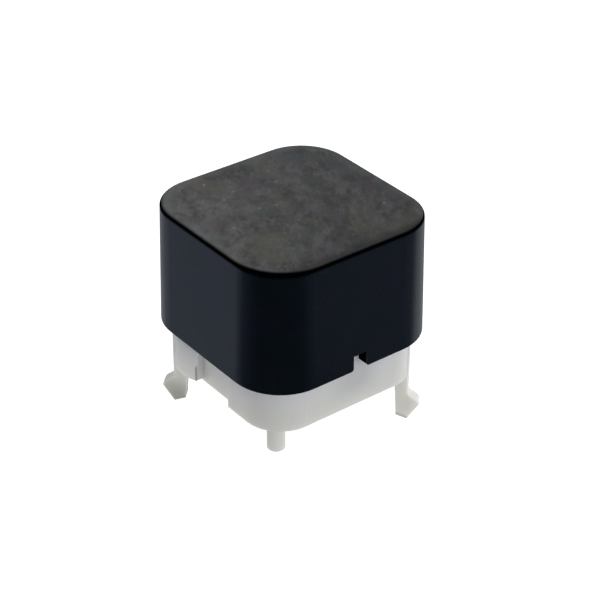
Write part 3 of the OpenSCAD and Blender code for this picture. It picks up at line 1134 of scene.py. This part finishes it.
@dataclass
class Studio:
    """Floor, world, lamps and reflection cards.

    The cap's satin sides mirror the cards and a dim world in place of the white floor.
    """

    floor_mm: float = -3.75
    floor_span_mm: float = 4000.0
    paper: Colour = (0.55, 0.55, 0.55)
    floor_glow: float = 0.45
    floor_white: float = 0.42
    white: Colour = (1.0, 1.0, 1.0)
    sky: float = 0.32
    gloss_rise: Pair = (0.15, 0.48)
    gloss_risen: Pair = (0.015, 0.5)
    gloss_fall: Pair = (0.85, 0.62)
    gloss_fallen: Pair = (0.03, 1.0)
    aim_mm: Point = (0.0, 0.0, 5.0)
    lamps: tuple[Lamp, ...] = (
        Lamp("key", (-17.0, 11.0, 29.5), 16.0, 0.0030),
        Lamp("fill", (45.0, -130.0, 24.0), 90.0, 0.052),
        Lamp("right", (130.0, 10.0, 45.0), 80.0, 0.14),
    )
    cards: tuple[Card, ...] = (
        Card(
            "card_left", (-24.0, 23.0, -3.0), (22.0, 30.0), (-7.0, 2.0, 8.0), (0.27, 0.305, 0.38)
        ),
        Card(
            "card_left_dim",
            (-34.5, 9.0, -3.0),
            (14.5, 30.0),
            (-7.0, -3.0, 8.0),
            (0.065, 0.080, 0.115),
        ),
        Card(
            "card_left_dark",
            (-36.0, -3.5, -3.0),
            (11.0, 30.0),
            (-7.0, -4.0, 8.0),
            (0.025, 0.035, 0.055),
        ),
        Card("card_back", (-4.0, 34.0, -3.0), (26.0, 26.0), (-6.5, 6.5, 8.0), (0.36, 0.38, 0.42)),
        Card("card_behind", (30.0, 34.0, -3.0), (42.0, 30.0), (5.0, 6.0, 8.0), (0.22, 0.24, 0.28)),
        Card("card_under", (0.0, 0.0, -3.7), (20.0, 20.0), (0.0, 0.0, 8.0), (0.70, 0.70, 0.70)),
        Card(
            "card_right", (22.8, -31.9, -3.0), (33.0, 30.0), (0.0, -7.0, 8.0), (0.10, 0.115, 0.15)
        ),
        Card(
            "card_right_dim",
            (5.6, -44.7, -3.0),
            (10.0, 30.0),
            (-4.0, -7.0, 8.0),
            (0.030, 0.036, 0.050),
        ),
        Card(
            "card_far_right", (34.0, -4.0, -3.0), (26.0, 30.0), (6.5, -6.5, 8.0), (0.42, 0.44, 0.48)
        ),
    )

    @staticmethod
    def _plane(
        name: str, size_mm: Pair, place: Matrix, material: bpy.types.Material
    ) -> bpy.types.Object:
        """Adds a flat sheet to the stage.

        Args:
            name: The sheet's name.
            size_mm: Its length and width.
            place: Where it lies.
            material: What it is made of.

        Returns:
            The sheet.
        """
        bm = bmesh.new()
        square = bmesh.ops.create_grid(bm, x_segments=1, y_segments=1, size=0.5)["verts"]
        bmesh.ops.scale(bm, verts=square, vec=(size_mm[0] * MM, size_mm[1] * MM, 1.0))
        bmesh.ops.transform(bm, verts=square, matrix=place)
        sheet = place_mesh(name, bm, material)
        return sheet

    @staticmethod
    def _glow(graph: Graph, kind: str, colour: Colour, strength: Any = 1.0) -> Wire:
        """A shader node of the kind that gives off light."""
        return graph.node(kind, inputs={"Color": (*colour, 1.0), "Strength": strength})

    def _floor(self) -> None:
        """A pale floor that keeps a soft shadow. The object's gloss sees the cards instead.

        From underneath it is clear, so that the underside can be looked at.
        """
        material, graph = new_material("studio_floor")
        paper = graph.node("ShaderNodeBsdfDiffuse", inputs={"Color": (*self.paper, 1.0)})
        strength = graph.seen() * self.floor_white + self.floor_glow
        glow = self._glow(graph, "ShaderNodeEmission", self.white, strength)
        lit = graph.node("ShaderNodeAddShader", inputs={0: paper, 1: glow})
        under = graph.node("ShaderNodeNewGeometry", out="Backfacing")
        clear = graph.node("ShaderNodeBsdfTransparent")
        sheet = graph.node("ShaderNodeMixShader", inputs={0: under, 1: lit, 2: clear})
        graph.node("ShaderNodeOutputMaterial", inputs={"Surface": sheet})
        span = (self.floor_span_mm, self.floor_span_mm)
        place = Matrix.Translation((0.0, 0.0, self.floor_mm * MM))
        self._plane("floor", span, place, material).visible_glossy = False

    def _world(self) -> None:
        """White behind the object, plain light all round it, and a dim horizon for its gloss."""
        world = bpy.data.worlds.new("studio")
        bpy.context.scene.world = world
        world.use_nodes = True
        graph = Graph(world.node_tree)
        up = graph.part(graph.node("ShaderNodeTexCoord", out="Generated"), Axis.Z)
        gloss = graph.step(up, self.gloss_rise, self.gloss_risen)
        gloss = gloss * graph.step(up, self.gloss_fall, self.gloss_fallen)
        shiny = graph.ray(Ray.GLOSSY)
        seen = graph.seen()
        level = self.sky * (1.0 - shiny) + gloss * shiny
        strength = seen + level * (1.0 - seen)
        light = self._glow(graph, "ShaderNodeBackground", self.white, strength)
        graph.node("ShaderNodeOutputWorld", inputs={"Surface": light})

    def _lamp(self, lamp: Lamp) -> None:
        """Hangs a lamp that looks at the object.

        Args:
            lamp: Its place, size and power.
        """
        data = bpy.data.lights.new(lamp.name, "AREA")
        data.size = lamp.size_mm * MM
        data.energy = lamp.watts
        hung = bpy.data.objects.new(lamp.name, data)
        hung.location = Vector(lamp.place_mm) * MM
        aim = Vector(self.aim_mm) * MM - hung.location
        hung.rotation_mode = "QUATERNION"
        hung.rotation_quaternion = aim.to_track_quat("-Z", "Y")
        bpy.context.scene.collection.objects.link(hung)
        hung.visible_camera = False
        hung.visible_glossy = False

    def _card(self, card: Card) -> None:
        """Stands a reflection card beside the object.

        Args:
            card: Its place, size, aim and glow.
        """
        material, graph = new_material(card.name)
        glow = self._glow(graph, "ShaderNodeEmission", card.glow)
        graph.node("ShaderNodeOutputMaterial", inputs={"Surface": glow})
        centre = Vector(card.centre_mm) * MM
        aim = (Vector(card.towards_mm) * MM - centre).to_track_quat("Z", "Y")
        place = Matrix.Translation(centre) @ aim.to_matrix().to_4x4()
        sheet = self._plane(card.name, card.size_mm, place, material)
        sheet.visible_camera = False
        sheet.visible_diffuse = False
        sheet.visible_shadow = False
        sheet.visible_transmission = False

    def build(self) -> None:
        """Sets the stage and the plain view transform."""
        self._floor()
        self._world()
        for lamp in self.lamps:
            self._lamp(lamp)
        for card in self.cards:
            self._card(card)
        bpy.context.scene.view_settings.view_transform = "Standard"


@dataclass(frozen=True)
class PhotoCamera:
    """The camera, fitted to the photograph's outline of the cap. Angles are in degrees."""

    azimuth: float = -37.5552
    elevation: float = 31.4072
    roll: float = 0.1955
    distance_mm: float = 124.93
    target_mm: Point = (0.0, 0.0, 8.05)
    lens_mm: float = 110.47
    sensor_mm: float = 36.0
    shift: Pair = (0.0145, -0.06016)
    clip_mm: Pair = (1.0, 20000.0)

    def build(self) -> None:
        """Makes the camera and sets it as the scene's own."""
        az, el, roll = (math.radians(turn) for turn in (self.azimuth, self.elevation, self.roll))
        back = Vector((math.sin(az) * math.cos(el), -math.cos(az) * math.cos(el), math.sin(el)))
        right = Vector((math.cos(az), math.sin(az), 0.0))
        up = back.cross(right)
        rolled_right = math.cos(roll) * right + math.sin(roll) * up
        rolled_up = math.cos(roll) * up - math.sin(roll) * right
        axes = Matrix((rolled_right, rolled_up, back)).transposed()
        spot = (Vector(self.target_mm) + back * self.distance_mm) * MM
        data = bpy.data.cameras.new("photo_camera")
        data.sensor_width = self.sensor_mm
        data.lens = self.lens_mm
        data.shift_x, data.shift_y = self.shift
        data.clip_start, data.clip_end = (reach * MM for reach in self.clip_mm)
        camera = bpy.data.objects.new("photo_camera", data)
        bpy.context.scene.collection.objects.link(camera)
        camera.matrix_world = Matrix.Translation(spot) @ axes.to_4x4()
        bpy.context.scene.camera = camera


def main() -> None:
    """Builds and dresses the switch, then sets the stage and the camera."""
    logging.basicConfig(level=logging.INFO, format="%(name)s: %(message)s")
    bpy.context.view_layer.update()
    for part in (
        CapAndPlunger(),
        HousingAndContacts(),
        WoundSpring(),
        SnapDome(),
        Studio(),
        PhotoCamera(),
    ):
        part.build()
        LOG.info("%s is built", type(part).__name__)
    bpy.context.view_layer.update()


if __name__ == "__main__":
    main()
